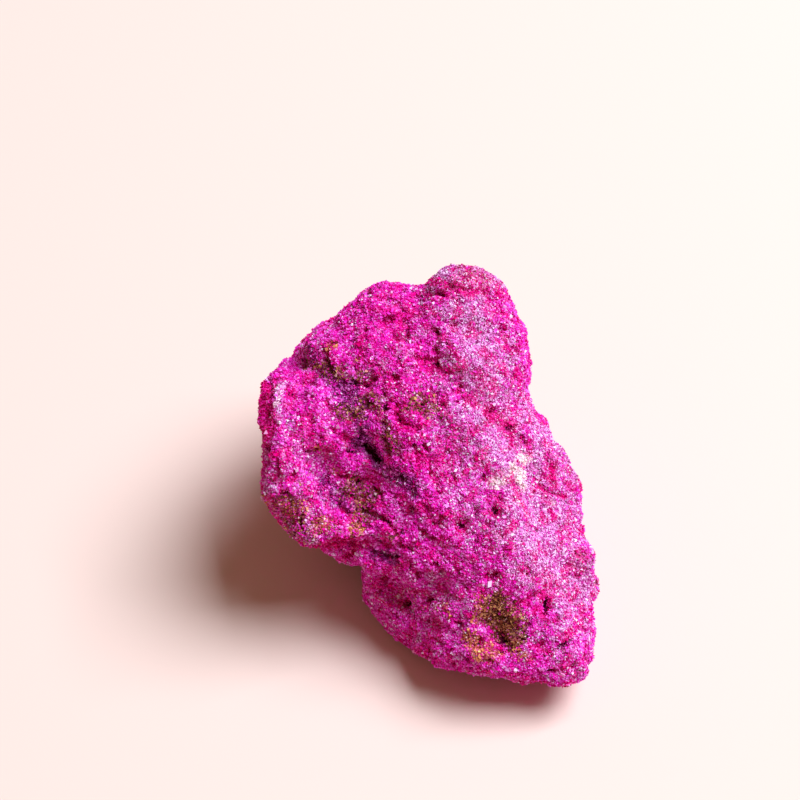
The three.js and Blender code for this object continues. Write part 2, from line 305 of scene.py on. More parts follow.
PATCHES = (
    Patch(Tint.PALE, ((6.4, 27), (9.2, 12.3), (15, -0.9), (19, -14), (23, -19)), 6.5, 0.8),
    Patch(Tint.PALE, ((19, 5), (22, -6), (23, -14)), 4.5, 0.7),
    Patch(Tint.PALE, ((4, 10), (5, 0), (8, -8)), 5.0, 0.45),
    # Painted highlight: a pale streak down the left lobe's ledge, where light catches it.
    Patch(Tint.PALE, ((-24, 14.7), (-24.3, 9.5)), 1.3, 0.65),
    # Painted light: the left lobe's lower rim made paler where its surface turns from the lamp.
    Patch(Tint.PALE, ((-25, -2), (-24, 1)), 2.0, 0.6),
    Patch(Tint.PALE, ((-20, 8), (-19, -5)), 5.0, 0.24),
    # Painted highlight: frost on the left lobe's ledge, with the pale streak above.
    Patch(Tint.FROST, ((-24, 14.5), (-24.3, 11.5)), 0.6, 0.4),
    Patch(Tint.FROST, ((15.1, 2.6),), 1.1, 0.84),
    Patch(Tint.FROST, ((13.8, 1.4), (14.8, 0.4)), 0.9, 0.78),
    Patch(Tint.FROST, ((14.7, -0.8), (15.2, -2.0)), 0.8, 0.72),
    Patch(Tint.PALE, ((14.8, 13), (16.8, 8.5), (18.4, 5)), 1.8, 0.8),
    Patch(Tint.FROST, ((12.0, 0.3),), 1.2, 0.35),
    Patch(Tint.FROST, ((10.6, -1.4),), 1.3, 0.66),
    Patch(Tint.FROST, ((14.6, -4.4),), 0.8, 0.5),
    Patch(Tint.FROST, ((20.4, -4.4),), 0.9, 0.5),
    Patch(Tint.PALE, ((0.5, 17), (3.5, 13)), 1.4, 0.5),
    Patch(Tint.PALE, ((-4.5, 22.5), (-5, 20)), 1.0, 0.6),
    Patch(Tint.PALE, ((-18.5, -10),), 1.6, 0.6),
    Patch(Tint.PALE, ((1.5, -19), (3.5, -20)), 2.0, 0.5),
    # Painted light: the lower right corner made paler, standing in for the light it catches.
    Patch(Tint.PALE, ((22, -28), (24, -32)), 3.5, 0.45),
    Patch(Tint.MOSS, ((-18.8, 18), (-14.7, 16.4)), 1.8, 0.6),
    Patch(Tint.RUST, ((-16.3, 21),), 1.4, 0.45),
    Patch(Tint.RUST, ((-11.7, 18.9),), 0.9, 0.45),
    Patch(Tint.MOSS, ((-11, 16),), 1.4, 0.4),
    Patch(Tint.MOSS, ((-13.5, 10.6), (-11, 10.8), (-8.6, 12.3)), 1.8, 0.5),
    Patch(Tint.MOSS, ((-7.3, 7), (-6, 5)), 1.6, 0.55),
    Patch(Tint.MOSS, ((-2, 12), (0.5, 11.2)), 2.0, 0.55),
    Patch(Tint.MOSS, ((2.6, 4),), 1.0, 0.5),
    Patch(Tint.MOSS, ((-12, -2), (-10.6, -5.4), (-11, -7.5)), 2.2, 0.58),
    Patch(Tint.MOSS, ((-6, -9.5),), 1.6, 0.45),
    Patch(Tint.MOSS, ((-22.8, -3.5), (-22, -8.3), (-16, -8)), 2.6, 0.38),
    Patch(Tint.MOSS, ((9.4, -20.8), (11.7, -22.6), (12.6, -24.4)), 2.9, 0.85),
    Patch(Tint.RUST, ((7.0, -26.4), (9.3, -28.8)), 2.1, 0.72),
    Patch(Tint.RUST, ((13.6, -28), (15.4, -28.8)), 1.2, 0.5),
    Patch(Tint.RUST, ((8.0, -19.6), (7.9, -23)), 1.4, 0.5),
    Patch(Tint.RUST, ((-26.5, -4), (-25.5, -6.5)), 1.6, 0.34),
    Patch(Tint.RUST, ((-23, -3.9), (-20.8, -4.6)), 1.8, 0.36),
    Patch(Tint.RUST, ((-17.3, -7.2),), 1.3, 0.5),
    Patch(Tint.RUST, ((-12.5, -8), (-11, -8.4)), 0.8, 0.6),
    Patch(Tint.RUST, ((-18, 4.4),), 0.9, 0.45),
    Patch(Tint.RUST, ((-15.4, 1.2),), 1.0, 0.45),
    Patch(Tint.RUST, ((2.6, -21.3),), 1.5, 0.4),
    Patch(Tint.PALE, ((2.5, 32.6), (9.8, 31.8)), 3.6, 0.9),
    Patch(Tint.MOSS, ((5, 33), (9, 31.5)), 1.6, 0.3),
    # Crimson round the cuts' pits and slits and down the left lobe's side that faces away from the lamp is
    # painted shade; the wide patch over the upper mass is the crust's own hot magenta.
    Patch(Tint.EMBER_AND_RECESS_SHADE, ((-0.5, 31.8), (2.8, 30.8), (6, 29.7), (9.2, 30.2)), 0.8, 0.8),
    Patch(Tint.EMBER_AND_RECESS_SHADE, ((-26.8, 14), (-26, 7)), 1.6, 0.9),
    Patch(Tint.EMBER_AND_RECESS_SHADE, ((-22.3, 13.6),), 1.1, 0.9),
    Patch(Tint.EMBER_AND_RECESS_SHADE, ((10.2, 10.6), (12.9, 7.8)), 1.5, 0.8),
    Patch(Tint.EMBER_AND_RECESS_SHADE, ((12, 26.3),), 1.2, 0.8),
    Patch(Tint.EMBER_AND_RECESS_SHADE, ((13.4, 1.2),), 0.8, 0.9),
    Patch(Tint.EMBER_AND_RECESS_SHADE, ((9.1, 1.6),), 0.8, 0.9),
    Patch(Tint.EMBER_AND_RECESS_SHADE, ((20.0, 1.6), (20.1, -0.2)), 0.6, 0.9),
    Patch(Tint.EMBER_AND_RECESS_SHADE, ((17.8, -1.7), (19.7, -2.8), (21.9, -3.4)), 0.5, 0.9),
    Patch(Tint.EMBER_AND_RECESS_SHADE, ((19.4, -5.6), (20, -6.8)), 0.5, 0.9),
    Patch(Tint.EMBER_AND_RECESS_SHADE, ((12.3, -8.2), (13.6, -7.2)), 0.6, 0.8),
    Patch(Tint.EMBER_AND_RECESS_SHADE, ((-4.5, 25.2),), 1.4, 0.7),
    Patch(Tint.EMBER_AND_RECESS_SHADE, ((25.4, -1.5),), 1.2, 0.7),
    Patch(Tint.EMBER_AND_RECESS_SHADE, ((25, -13),), 1.4, 0.7),
    Patch(Tint.EMBER_AND_RECESS_SHADE, ((10.1, -5.4),), 1.4, 0.8),
    Patch(Tint.EMBER_AND_RECESS_SHADE, ((-11, 26), (-4, 17)), 6.5, 0.3),
    Patch(Tint.EMBER_AND_RECESS_SHADE, ((-17, -10.8), (-10.5, -10.8)), 1.2, 0.8),
    # Painted shade: deep purple down the furrows, the slit and the left lobe's hollow.
    Patch(Tint.DUSK_AND_FURROW_SHADE, ((-10.8, 5.6), (-7.8, 2.1)), 1.2, 0.8),
    Patch(Tint.DUSK_AND_FURROW_SHADE, ((-19, 18.5), (-14, 15), (-11.5, 10), (-10, 5)), 1.9, 0.6),
    Patch(Tint.DUSK_AND_FURROW_SHADE, ((-7.1, 1.4), (-4.5, -0.1), (-2, -2.5)), 1.4, 0.56),
    Patch(Tint.DUSK_AND_FURROW_SHADE, ((-17, -0.5), (-15, -4), (-12, -5)), 1.8, 0.42),
    Patch(Tint.DUSK_AND_FURROW_SHADE, ((-8.3, -12.6), (-5.5, -13)), 1.2, 0.6),
    # More crimson painted shade, round the pits and slits of the lower end.
    Patch(Tint.EMBER_AND_RECESS_SHADE, ((17.6, -18.5), (18.8, -20), (18.6, -22)), 1.1, 0.9),
    Patch(Tint.EMBER_AND_RECESS_SHADE, ((19.1, -16.8),), 0.7, 0.9),
    Patch(Tint.EMBER_AND_RECESS_SHADE, ((25, -15.1),), 0.6, 0.9),
    Patch(Tint.EMBER_AND_RECESS_SHADE, ((22, -25.2),), 0.9, 0.8),
    Patch(Tint.EMBER_AND_RECESS_SHADE, ((24.2, -23.4),), 1.6, 0.6),
    Patch(Tint.EMBER_AND_RECESS_SHADE, ((11.4, -25.9), (11.2, -27.6)), 1.0, 0.8),
    Patch(Tint.EMBER_AND_RECESS_SHADE, ((5.1, -7.8),), 1.2, 0.9),
    Patch(Tint.EMBER_AND_RECESS_SHADE, ((-4, -21),), 1.2, 0.8),
)
MOTTLES = (
    Mottle(Tint.PALE, 7.0, 0.18, 3.3, 0.4, 0.5),
    Mottle(Tint.PALE, 1.5, 0.1, 29.4, 0.5),
    Mottle(Tint.MOSS, 9.0, 0.3, 14.1, 0.42, 0.4),
    Mottle(Tint.EMBER_AND_RECESS_SHADE, 1.9, 0.02, 17.2, 0.6),
    Mottle(Tint.EMBER_AND_RECESS_SHADE, 5.0, 0.12, 41.7, 0.42),
    Mottle(Tint.DUSK_AND_FURROW_SHADE, 6.0, 0.1, 23.4, 0.3, 0.4),
)
TINTS = Tints(PATCHES, MOTTLES)


# ------------------------------------------------------------------------------------------------------------
# The crust


class Grain(Enum):
    """How a size of relief is made."""

    SWELLING = "swelling"
    LUMPY = "lumpy"
    PORED = "pored"


@dataclass(frozen=True)
class Relief:
    """One size of relief that covers the rock.

    Attributes:
        grain: how it is made.
        size: the distance over which it changes, in millimetres.
        height: how far it stands up or goes down, in millimetres.
        seed: the pattern.
    """

    grain: Grain
    size: float
    height: float
    seed: float

    def at(self, points: np.ndarray) -> np.ndarray:
        """Its height in millimetres over each row of x, y and z in millimetres."""
        if self.grain is Grain.LUMPY:
            return self.height * (lumps_at(points, self.size, self.seed) - LUMP_LEVEL)
        value = noise_at(points, self.size, self.seed)
        if self.grain is Grain.PORED:
            return -self.height * smoothstep(value, PORES_FROM, PORES_TO)
        return self.height * value


@dataclass(frozen=True)
class Cut:
    """A sharp pit or slit of the broad face.

    Attributes:
        path: one or more points (u, v) that it follows, in millimetres.
        width: how far it reaches to either side, in millimetres.
        depth: how far it goes down, in millimetres.
    """

    path: Path
    width: float
    depth: float


RELIEFS = (
    Relief(Grain.SWELLING, 4.2, 0.5, 2.2),
    Relief(Grain.LUMPY, 2.8, 0.45, 6.1),
    Relief(Grain.SWELLING, 1.5, 0.3, 9.4),
    Relief(Grain.LUMPY, 1.3, 0.2, 4.7),
    Relief(Grain.PORED, 1.7, 1.2, 11.9),
    Relief(Grain.PORED, 3.1, 0.85, 20.6),
)
CUTS = (
    Cut(((-10.4, 5.0), (-9.3, 3.6), (-8.4, 2.6)), 0.55, 1.6),
    Cut(((-7.1, 1.4), (-4.5, -0.1)), 0.6, 0.4),
    Cut(((-22.6, 13.9), (-21.8, 13.4)), 0.7, 0.7),
    Cut(((17.5, -18.7),), 0.4, 0.7),
    Cut(((18.8, -19.9), (18.5, -21.7)), 0.5, 1.5),
    Cut(((11.4, -25.5), (11.6, -26.2)), 0.9, 1.2),
    Cut(((11.2, -27.6),), 0.6, 0.9),
    Cut(((5.1, -7.8),), 0.75, 1.4),
    Cut(((10.1, -5.4),), 0.8, 1.1),
    Cut(((10.2, 10.6),), 0.6, 1.0),
    Cut(((12.9, 7.8),), 1.0, 1.0),
    Cut(((13.4, 1.2),), 0.5, 0.6),
    Cut(((17.8, -1.7), (19.7, -2.8), (21.9, -3.4)), 0.35, 0.5),
    Cut(((20.0, 1.4),), 0.45, 0.5),
    Cut(((12.0, 26.3),), 0.6, 0.6),
    Cut(((-4.5, 25.2),), 0.8, 0.7),
    Cut(((1.3, 13.1),), 0.8, 0.6),
    Cut(((-8.3, -12.6), (-5.5, -13)), 0.55, 0.9),
    Cut(((-4, -21),), 0.7, 1.0),
    Cut(((20.8, -27.3), (22.3, -26.3)), 0.5, 1.1),
    Cut(((2.1, -26.8),), 0.6, 0.7),
    Cut(((-2.8, -5.4),), 0.7, 0.8),
    Cut(((25.0, -13.0),), 0.7, 0.7),
    Cut(((2.8, 30.9), (6, 29.8), (8.6, 30.0)), 0.6, 0.5),
    Cut(((-16, -10.6), (-10.5, -10.6)), 0.7, 0.6),
    Cut(((12.2, -23),), 1.4, 0.6),
)


@dataclass(frozen=True)
class Sampled:
    """Places on the crust, one a row, and what holds there.

    Attributes:
        points: x, y and z in millimetres.
        normals: the directions out of the rock.
        tints: how far the colour leans to each tint.
        recess: how far they lie in a recess, from 0 to 1.
    """

    points: np.ndarray
    normals: np.ndarray
    tints: dict[Tint, np.ndarray]
    recess: np.ndarray

    def part(self, rows: slice) -> "Sampled":
        """Some of the places."""
        tints = {tint: lean[rows] for tint, lean in self.tints.items()}
        return Sampled(self.points[rows], self.normals[rows], tints, self.recess[rows])


@dataclass
class Crust:
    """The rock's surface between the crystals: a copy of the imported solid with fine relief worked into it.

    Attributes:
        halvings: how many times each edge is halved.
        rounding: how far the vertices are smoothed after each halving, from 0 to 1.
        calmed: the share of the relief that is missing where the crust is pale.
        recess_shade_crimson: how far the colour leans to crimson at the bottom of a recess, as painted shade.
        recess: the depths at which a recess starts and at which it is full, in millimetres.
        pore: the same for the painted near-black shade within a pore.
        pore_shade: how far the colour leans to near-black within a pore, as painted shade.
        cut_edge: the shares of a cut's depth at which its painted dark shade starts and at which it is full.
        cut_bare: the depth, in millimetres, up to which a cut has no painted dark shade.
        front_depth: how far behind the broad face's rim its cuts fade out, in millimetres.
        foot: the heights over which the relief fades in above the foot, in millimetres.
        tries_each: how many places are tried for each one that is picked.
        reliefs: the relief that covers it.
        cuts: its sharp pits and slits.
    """

    halvings: int = 2
    rounding: float = 0.5
    calmed: float = 0.6
    recess_shade_crimson: float = 0.85
    recess: tuple[float, float] = (0.2, 1.1)
    pore: tuple[float, float] = (1.1, 1.8)
    pore_shade: float = 0.7
    cut_edge: tuple[float, float] = (0.35, 0.9)
    cut_bare: float = 0.4
    front_depth: float = 6.0
    foot: tuple[float, float] = (0.1, 1.6)
    tries_each: int = 4
    reliefs: tuple[Relief, ...] = RELIEFS
    cuts: tuple[Cut, ...] = CUTS

    def build(self, solid: bpy.types.Object, finish: bpy.types.Material) -> bpy.types.Object:
        """Builds the crust.

        Args:
            solid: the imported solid, which stays as it is.
            finish: the crust's material.

        Returns:
            The crust's object.
        """
        mesh = bpy.data.meshes.new("crust")
        bm = bmesh.new()
        bm.from_mesh(solid.data)
        bmesh.ops.remove_doubles(bm, verts=bm.verts, dist=0.001 * MM)
        for _ in range(self.halvings):
            bmesh.ops.subdivide_edges(bm, edges=bm.edges, cuts=1, use_grid_fill=True)
            bmesh.ops.smooth_vert(
                bm, verts=bm.verts, factor=self.rounding, use_axis_x=True, use_axis_y=True, use_axis_z=True
            )
        bmesh.ops.triangulate(bm, faces=bm.faces)
        bmesh.ops.recalc_face_normals(bm, faces=bm.faces)
        bm.to_mesh(mesh)
        bm.free()
        mesh.materials.clear()
        mesh.materials.append(finish)
        tints = TINTS.at(read_points(mesh))
        recess, cut = self.work_relief(mesh, 1 - self.calmed * tints[Tint.PALE])
        mesh.shade_smooth()
        # Painted shade: crimson at the bottom of each recess, and near-black within pores, pits and slits.
        tints[Tint.EMBER_AND_RECESS_SHADE] = np.maximum(tints[Tint.EMBER_AND_RECESS_SHADE], self.recess_shade_crimson * recess)
        tints[Tint.DEEP] = np.maximum(tints[Tint.DEEP], cut)
        for tint, lean in tints.items():
            add_values(mesh, tint.value, lean)
        add_values(mesh, "recess", recess)
        add_ball_map(mesh)
        return add_object("crust", mesh)

    def work_relief(self, mesh: bpy.types.Mesh, share: np.ndarray) -> tuple[np.ndarray, np.ndarray]:
        """Moves the vertices of a mesh out and in along its normals.

        Args:
            mesh: the mesh.
            share: how much of the relief each vertex gets.

        Returns:
            How far each vertex lies in a recess, and how dark the painted shade of a pore, pit or slit is
            there, both from 0 to 1.
        """
        points = read_points(mesh)
        normals = read_normals(mesh)
        u, v, w = FACE.places(points).T
        height = share * sum(relief.at(points) for relief in self.reliefs)
        recess = smoothstep(-height, *self.recess)
        # Painted shade: near-black within the deepest pores and within the cuts.
        inside = self.pore_shade * smoothstep(-height, *self.pore)
        front = smoothstep(w, -self.front_depth, 0)
        for cut in self.cuts:
            here = falloff(path_distance(u, v, cut.path), cut.width) * front
            height -= cut.depth * here
            inside = np.maximum(inside, (cut.depth - self.cut_bare) * smoothstep(here, *self.cut_edge))
        height *= smoothstep(points[:, 2], *self.foot)
        points += normals * height[:, None]
        points[:, 2] = np.maximum(points[:, 2], 0)
        mesh.vertices.foreach_set("co", (points * MM).ravel())
        mesh.update()
        return recess, inside

    def sample(self, mesh: bpy.types.Mesh, count: int, gap: float, rng: np.random.Generator) -> Sampled:
        """Picks places all over the crust.

        Args:
            mesh: the crust's mesh.
            count: how many places to pick.
            gap: about how far apart they are, in millimetres.
            rng: the random numbers.

        Returns:
            The places, in random order.
        """
        points, normals = read_points(mesh), read_normals(mesh)
        corners = np.empty(len(mesh.loops), dtype=np.int32)
        mesh.loops.foreach_get("vertex_index", corners)
        corners = corners.reshape(-1, 3)
        a, b, c = (points[corners[:, i]] for i in range(3))
        areas = np.linalg.norm(np.cross(b - a, c - a), axis=1) / 2
        tries = self.tries_each * count
        faces = rng.choice(len(corners), tries, p=areas / areas.sum())
        shares = rng.dirichlet((1, 1, 1), tries)
        picked = np.einsum("ni,nij->nj", shares, points[corners[faces]])
        cells = np.floor(picked / gap).astype(np.int64)
        _, first = np.unique(cells @ CELL_STRIDES, return_index=True)
        kept = rng.permutation(first)[:count]
        log.info("%d places of %d tried are apart enough, and %d are used", len(first), tries, len(kept))
        shares, corners = shares[kept], corners[faces[kept]]
        stored = {
            name: (shares * read_values(mesh, name)[corners]).sum(1)
            for name in ("recess", *(tint.value for tint in Tint))
        }
        return Sampled(
            picked[kept],
            unit(np.einsum("ni,nij->nj", shares, normals[corners])),
            {tint: stored[tint.value] for tint in Tint},
            stored["recess"],
        )


class Habit(Enum):
    """The form of a crystal."""

    RHOMB = "rhomb"
    BIPYRAMID = "bipyramid"
    CHIP = "chip"


@dataclass(frozen=True)
class Crop:
    """Crystals of one habit, all over the rock, joined into one mesh.

    Attributes:
        name: the piece's name.
        habit: their form.
        count: how many there are.
        size: their middling width, in millimetres.
        spread: how much their widths differ: 0.3 is from about two thirds to about one and a half.
        sink: how deep a crystal's middle lies under the surface, as a share of its width.
    """

    name: str
    habit: Habit
    count: int
    size: float
    spread: float = 0.2
    sink: float = -0.12


CROPS = (
    Crop("crystals_coarse", Habit.RHOMB, 8000, 0.44),
    Crop("crystals_pointed", Habit.BIPYRAMID, 32000, 0.36),
    Crop("crystals_fine_a", Habit.CHIP, 48000, 0.36),
    Crop("crystals_fine_b", Habit.CHIP, 48000, 0.33),
    Crop("crystals_fine_c", Habit.CHIP, 48000, 0.3),
)


@dataclass
class Crystals:
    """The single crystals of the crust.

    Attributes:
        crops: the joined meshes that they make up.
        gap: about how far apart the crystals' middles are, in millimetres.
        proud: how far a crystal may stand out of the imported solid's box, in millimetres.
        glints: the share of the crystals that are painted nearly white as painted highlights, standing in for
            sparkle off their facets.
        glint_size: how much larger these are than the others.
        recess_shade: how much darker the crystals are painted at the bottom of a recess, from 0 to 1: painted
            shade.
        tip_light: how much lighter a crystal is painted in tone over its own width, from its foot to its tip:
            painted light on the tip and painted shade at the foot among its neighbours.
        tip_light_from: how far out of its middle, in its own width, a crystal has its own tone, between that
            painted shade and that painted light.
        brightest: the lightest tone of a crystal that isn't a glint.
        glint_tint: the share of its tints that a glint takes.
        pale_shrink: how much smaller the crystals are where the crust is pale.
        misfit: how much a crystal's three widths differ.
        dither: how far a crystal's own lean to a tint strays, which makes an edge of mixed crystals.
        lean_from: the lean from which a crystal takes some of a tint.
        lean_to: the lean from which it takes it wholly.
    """

    crops: tuple[Crop, ...] = CROPS
    gap: float = 0.2
    proud: float = 0.25
    glints: float = 0.016
    glint_size: float = 1.15
    recess_shade: float = 0.2
    tip_light: float = 0.9
    tip_light_from: float = 0.2
    brightest: float = 0.94
    glint_tint: float = 0.5
    pale_shrink: float = 0.25
    misfit: float = 0.18
    dither: float = 0.8
    lean_from: float = 0.4
    lean_to: float = 0.6

    def build(
        self, crust: Crust, ground: bpy.types.Mesh, finish: bpy.types.Material
    ) -> list[bpy.types.Object]:
        """Grows the crystals.

        Args:
            crust: the crust they grow on.
            ground: the crust's mesh.
            finish: the crystals' material.

        Returns:
            One object for each crop.
        """
        rng = np.random.default_rng(SEED)
        places = crust.sample(ground, sum(crop.count for crop in self.crops), self.gap, rng)
        pieces = []
        first = 0
        for crop in self.crops:
            own = places.part(slice(first, first + crop.count))
            first += crop.count
            pieces.append(self.grow(crop, own, finish, rng))
        return pieces

    def template(self, habit: Habit) -> tuple[np.ndarray, np.ndarray]:
        """One crystal of width 1 about the origin.

        Args:
            habit: its form.

        Returns:
            Rows of x, y and z, and rows of three vertex numbers.
        """
        bm = bmesh.new()
        if habit is Habit.RHOMB:
            bmesh.ops.create_cube(bm, size=RHOMB_SIDE)
            bmesh.ops.scale(bm, verts=bm.verts, vec=(1, 1, RHOMB_LENGTH))
            bmesh.ops.rotate(bm, verts=bm.verts, matrix=Matrix.Rotation(RHOMB_LEAN, 3, "X"))
            bmesh.ops.scale(bm, verts=bm.verts, vec=RHOMB_SQUEEZE)
        elif habit is Habit.BIPYRAMID:
            bmesh.ops.create_uvsphere(bm, u_segments=3, v_segments=2, radius=POINTED_RADIUS)
        else:
            bmesh.ops.create_cone(
                bm, segments=3, radius1=POINTED_RADIUS, radius2=0, depth=CHIP_HEIGHT, cap_ends=True
            )
        bmesh.ops.triangulate(bm, faces=bm.faces)
        bmesh.ops.recalc_face_normals(bm, faces=bm.faces)
        bm.verts.index_update()
        points = np.array([v.co[:] for v in bm.verts])
        corners = np.array([[v.index for v in face.verts] for face in bm.faces])
        bm.free()
        return points, corners

    def grow(
        self, crop: Crop, places: Sampled, finish: bpy.types.Material, rng: np.random.Generator
    ) -> bpy.types.Object:
        """Joins the crystals of one crop into a mesh.

        Args:
            crop: the crop.
            places: where they grow.
            finish: their material.
            rng: the random numbers.

        Returns:
            The crop's object.
        """
        shape, corners = self.template(crop.habit)
        count = len(places.points)
        width = crop.size * np.exp(crop.spread * rng.standard_normal(count))
        width *= 1 - self.pale_shrink * places.tints[Tint.PALE]
        # Painted highlights: a share of the crystals, a little larger, are made nearly white.
        glint = rng.random(count) < self.glints
        width[glint] *= self.glint_size
        stretch = np.exp(self.misfit * rng.standard_normal((count, 1, 3)))
        turned = np.einsum("nij,nvj->nvi", turns(count, rng), shape * stretch)
        middles = places.points - places.normals * (crop.sink * width)[:, None]
        points = middles[:, None, :] + turned * width[:, None, None]
        low, high = (np.array(corner) / MM for corner in packed_box)
        low, high = low - self.proud, high + self.proud
        low[2] = 0
        points = np.clip(points, low, high)
        faces = (corners[None] + (np.arange(count) * len(shape))[:, None, None]).reshape(-1, 3)
        mesh = bpy.data.meshes.new(crop.name)
        mesh.from_pydata((points * MM).reshape(-1, 3), [], faces)
        mesh.materials.append(finish)
        outward = np.einsum("nvi,ni->nv", turned, places.normals)
        self.dress(mesh, places, outward, glint, rng)
        log.info("%s: %d crystals", crop.name, count)
        add_cell_map(mesh, shape, corners, count)
        return add_object(crop.name, mesh)

    def dress(
        self,
        mesh: bpy.types.Mesh,
        places: Sampled,
        outward: np.ndarray,
        glint: np.ndarray,
        rng: np.random.Generator,
    ) -> None:
        """Stores what each crystal's colour is made from.

        Args:
            mesh: the crop's mesh.
            places: where its crystals grow.
            outward: how far each vertex stands out of the rock, in its crystal's width: a row a crystal.
            glint: which crystals are painted nearly white as painted highlights.
            rng: the random numbers.
        """
        count, each = outward.shape
        # Painted shade: a crystal is darker in tone at the bottom of a recess and at its foot among its
        # neighbours; painted light makes it lighter towards its tip.
        tone = (1 - self.recess_shade * places.recess) * rng.random(count)
        tone = self.brightest * tone[:, None] + self.tip_light * (outward - self.tip_light_from)
        tone = np.clip(tone, 0, self.brightest)
        # Painted highlights take the near-white top of the tone ramp.
        tone[glint] = 1.0
        add_values(mesh, "tone", tone.ravel())
        for tint, lean in places.tints.items():
            dither = self.dither * (rng.random(count) - 0.5)
            own = smoothstep(lean + dither, self.lean_from, self.lean_to)
            own[glint] *= self.glint_tint
            add_values(mesh, tint.value, np.repeat(own, each))


# ------------------------------------------------------------------------------------------------------------
# Meshes from arrays


def turns(count: int, rng: np.random.Generator) -> np.ndarray:
    """Random turns, every one as likely, as 3 by 3 matrices."""
    a, b, c, d = unit(rng.standard_normal((count, 4))).T
    return np.stack(
        [
            np.stack([1 - 2 * (c * c + d * d), 2 * (b * c - a * d), 2 * (b * d + a * c)], axis=1),
            np.stack([2 * (b * c + a * d), 1 - 2 * (b * b + d * d), 2 * (c * d - a * b)], axis=1),
            np.stack([2 * (b * d - a * c), 2 * (c * d + a * b), 1 - 2 * (b * b + c * c)], axis=1),
        ],
        axis=1,
    )


def read_points(mesh: bpy.types.Mesh) -> np.ndarray:
    """The vertices of a mesh as rows of x, y and z in millimetres."""
    points = np.empty(3 * len(mesh.vertices), dtype=np.float32)
    mesh.vertices.foreach_get("co", points)
    return points.reshape(-1, 3).astype(np.float64) / MM


def read_normals(mesh: bpy.types.Mesh) -> np.ndarray:
    """The directions out of a mesh at its vertices, one a row."""
    normals = np.empty(3 * len(mesh.vertices), dtype=np.float32)
    mesh.vertex_normals.foreach_get("vector", normals)
    return normals.reshape(-1, 3).astype(np.float64)


def add_values(mesh: bpy.types.Mesh, name: str, values: np.ndarray) -> None:
    """Stores one value for each vertex of a mesh under a name."""
    layer = mesh.attributes.new(name, "FLOAT", "POINT")
    layer.data.foreach_set("value", values.astype(np.float32))


def read_values(mesh: bpy.types.Mesh, name: str) -> np.ndarray:
    """The value for each vertex of a mesh that is stored under a name."""
    values = np.empty(len(mesh.vertices), dtype=np.float32)
    mesh.attributes[name].data.foreach_get("value", values)
    return values.astype(np.float64)


def add_map(mesh: bpy.types.Mesh, places: np.ndarray) -> None:
    """Gives a mesh a flat map with a place for each corner of each face, in their order."""
    layer = mesh.uv_layers.new(name=MAP_NAME)
    layer.data.foreach_set("uv", places.astype(np.float32).ravel())


def add_ball_map(mesh: bpy.types.Mesh) -> None:
    """Maps a lump as six squares: each face goes to the side of a cube round the lump that it looks at."""
    points = read_points(mesh)
    points -= (points.min(axis=0) + points.max(axis=0)) / 2
    corners = np.empty(len(mesh.loops), dtype=np.int32)
    mesh.loops.foreach_get("vertex_index", corners)
    faces = points[corners].reshape(-1, 3, 3)
    middle = faces.mean(axis=1)
    axis = np.abs(middle).argmax(axis=1)
    ahead = middle[np.arange(len(middle)), axis] > 0
    places = np.empty((len(faces), 3, 2))
    for side in range(3):
        across, up = (side + 1) % 3, (side + 2) % 3
        for sign in (False, True):
            own = (axis == side) & (ahead == sign)
            ray = faces[own]
            flat = ray[:, :, [across, up]] / np.abs(ray[:, :, [side]])
            square = np.array([side / 3, 0.5 * sign]) + np.array([1 / 6, 1 / 4])
            places[own] = square + flat * np.array([1 / 6, 1 / 4]) * MAP_FILL
    add_map(mesh, places)


def add_cell_map(mesh: bpy.types.Mesh, shape: np.ndarray, corners: np.ndarray, count: int) -> None:
    """Maps copies of a shape, each on a square of its own, as seen from where no face is edge-on.

    Args:
        mesh: the joined copies.
        shape: the shape's vertices.
        corners: rows of three vertex numbers of the shape.
        count: how many copies there are.
    """
    flat = shape @ FLAT_VIEW
    flat = (flat - flat.min(axis=0)) / np.ptp(flat, axis=0)
    across = math.ceil(math.sqrt(count))
    cells = np.stack([np.arange(count) % across, np.arange(count) // across], axis=1)
    inset = CELL_MARGIN + (1 - 2 * CELL_MARGIN) * flat[corners.ravel()][None]
    places = (cells[:, None, :] + inset) / across
    add_map(mesh, places.reshape(-1, 2))


def add_object(name: str, mesh: bpy.types.Mesh) -> bpy.types.Object:
    """An object of a name that shows a mesh, added to the scene."""
    made = bpy.data.objects.new(name, mesh)
    bpy.context.scene.collection.objects.link(made)
    return made


# ------------------------------------------------------------------------------------------------------------
# Finishes


